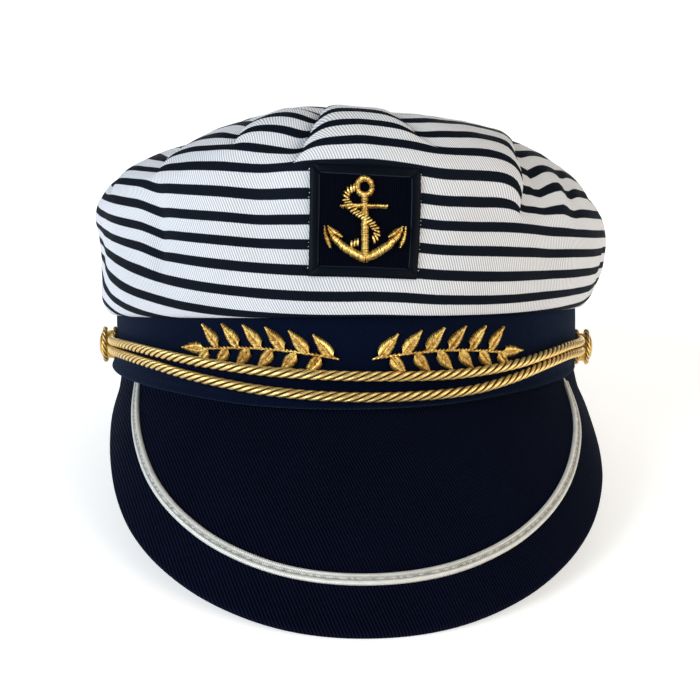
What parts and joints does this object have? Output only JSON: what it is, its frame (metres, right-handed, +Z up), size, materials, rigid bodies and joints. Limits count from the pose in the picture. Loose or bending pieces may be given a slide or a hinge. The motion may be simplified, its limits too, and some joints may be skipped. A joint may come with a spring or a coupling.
{
  "type": "captain hat",
  "caption": "Soft captain hat with a gathered striped cloth crown, navy band, braided cloth peak, gold chin cord on side buttons and an anchor badge.",
  "frame": {"origin": "middle of the hat's footprint, on the surface it rests on", "axes": "+Z up, -Y the way the peak points, +X to the right of a person who looks at the front"},
  "size_m": [0.193, 0.275, 0.1224],
  "materials": {
    "striped_cloth": "satin twill with woven dark stripes",
    "navy_twill": "matte twill",
    "peak_twill": "matte fine twill",
    "silver_braid": "metallic thread braid",
    "badge_cloth": "matte plain cloth",
    "badge_ribbon": "satin ribbon",
    "gold_thread": "satin stitch in metallic thread",
    "gold_cord": "twisted metallic cord",
    "gold_metal": "polished"
  },
  "bodies": {
    "root": {"crown": "striped_cloth", "band": "navy_twill", "peak": "peak_twill", "peak_piping": "silver_braid", "patch": "badge_cloth", "patch_border": "badge_ribbon", "anchor": "gold_thread", "anchor_rope": "gold_thread", "sprig_left": "gold_thread", "sprig_right": "gold_thread", "chin_cord": "gold_cord", "button_left": "gold_metal", "button_right": "gold_metal"}
  },
  "joints": []
}
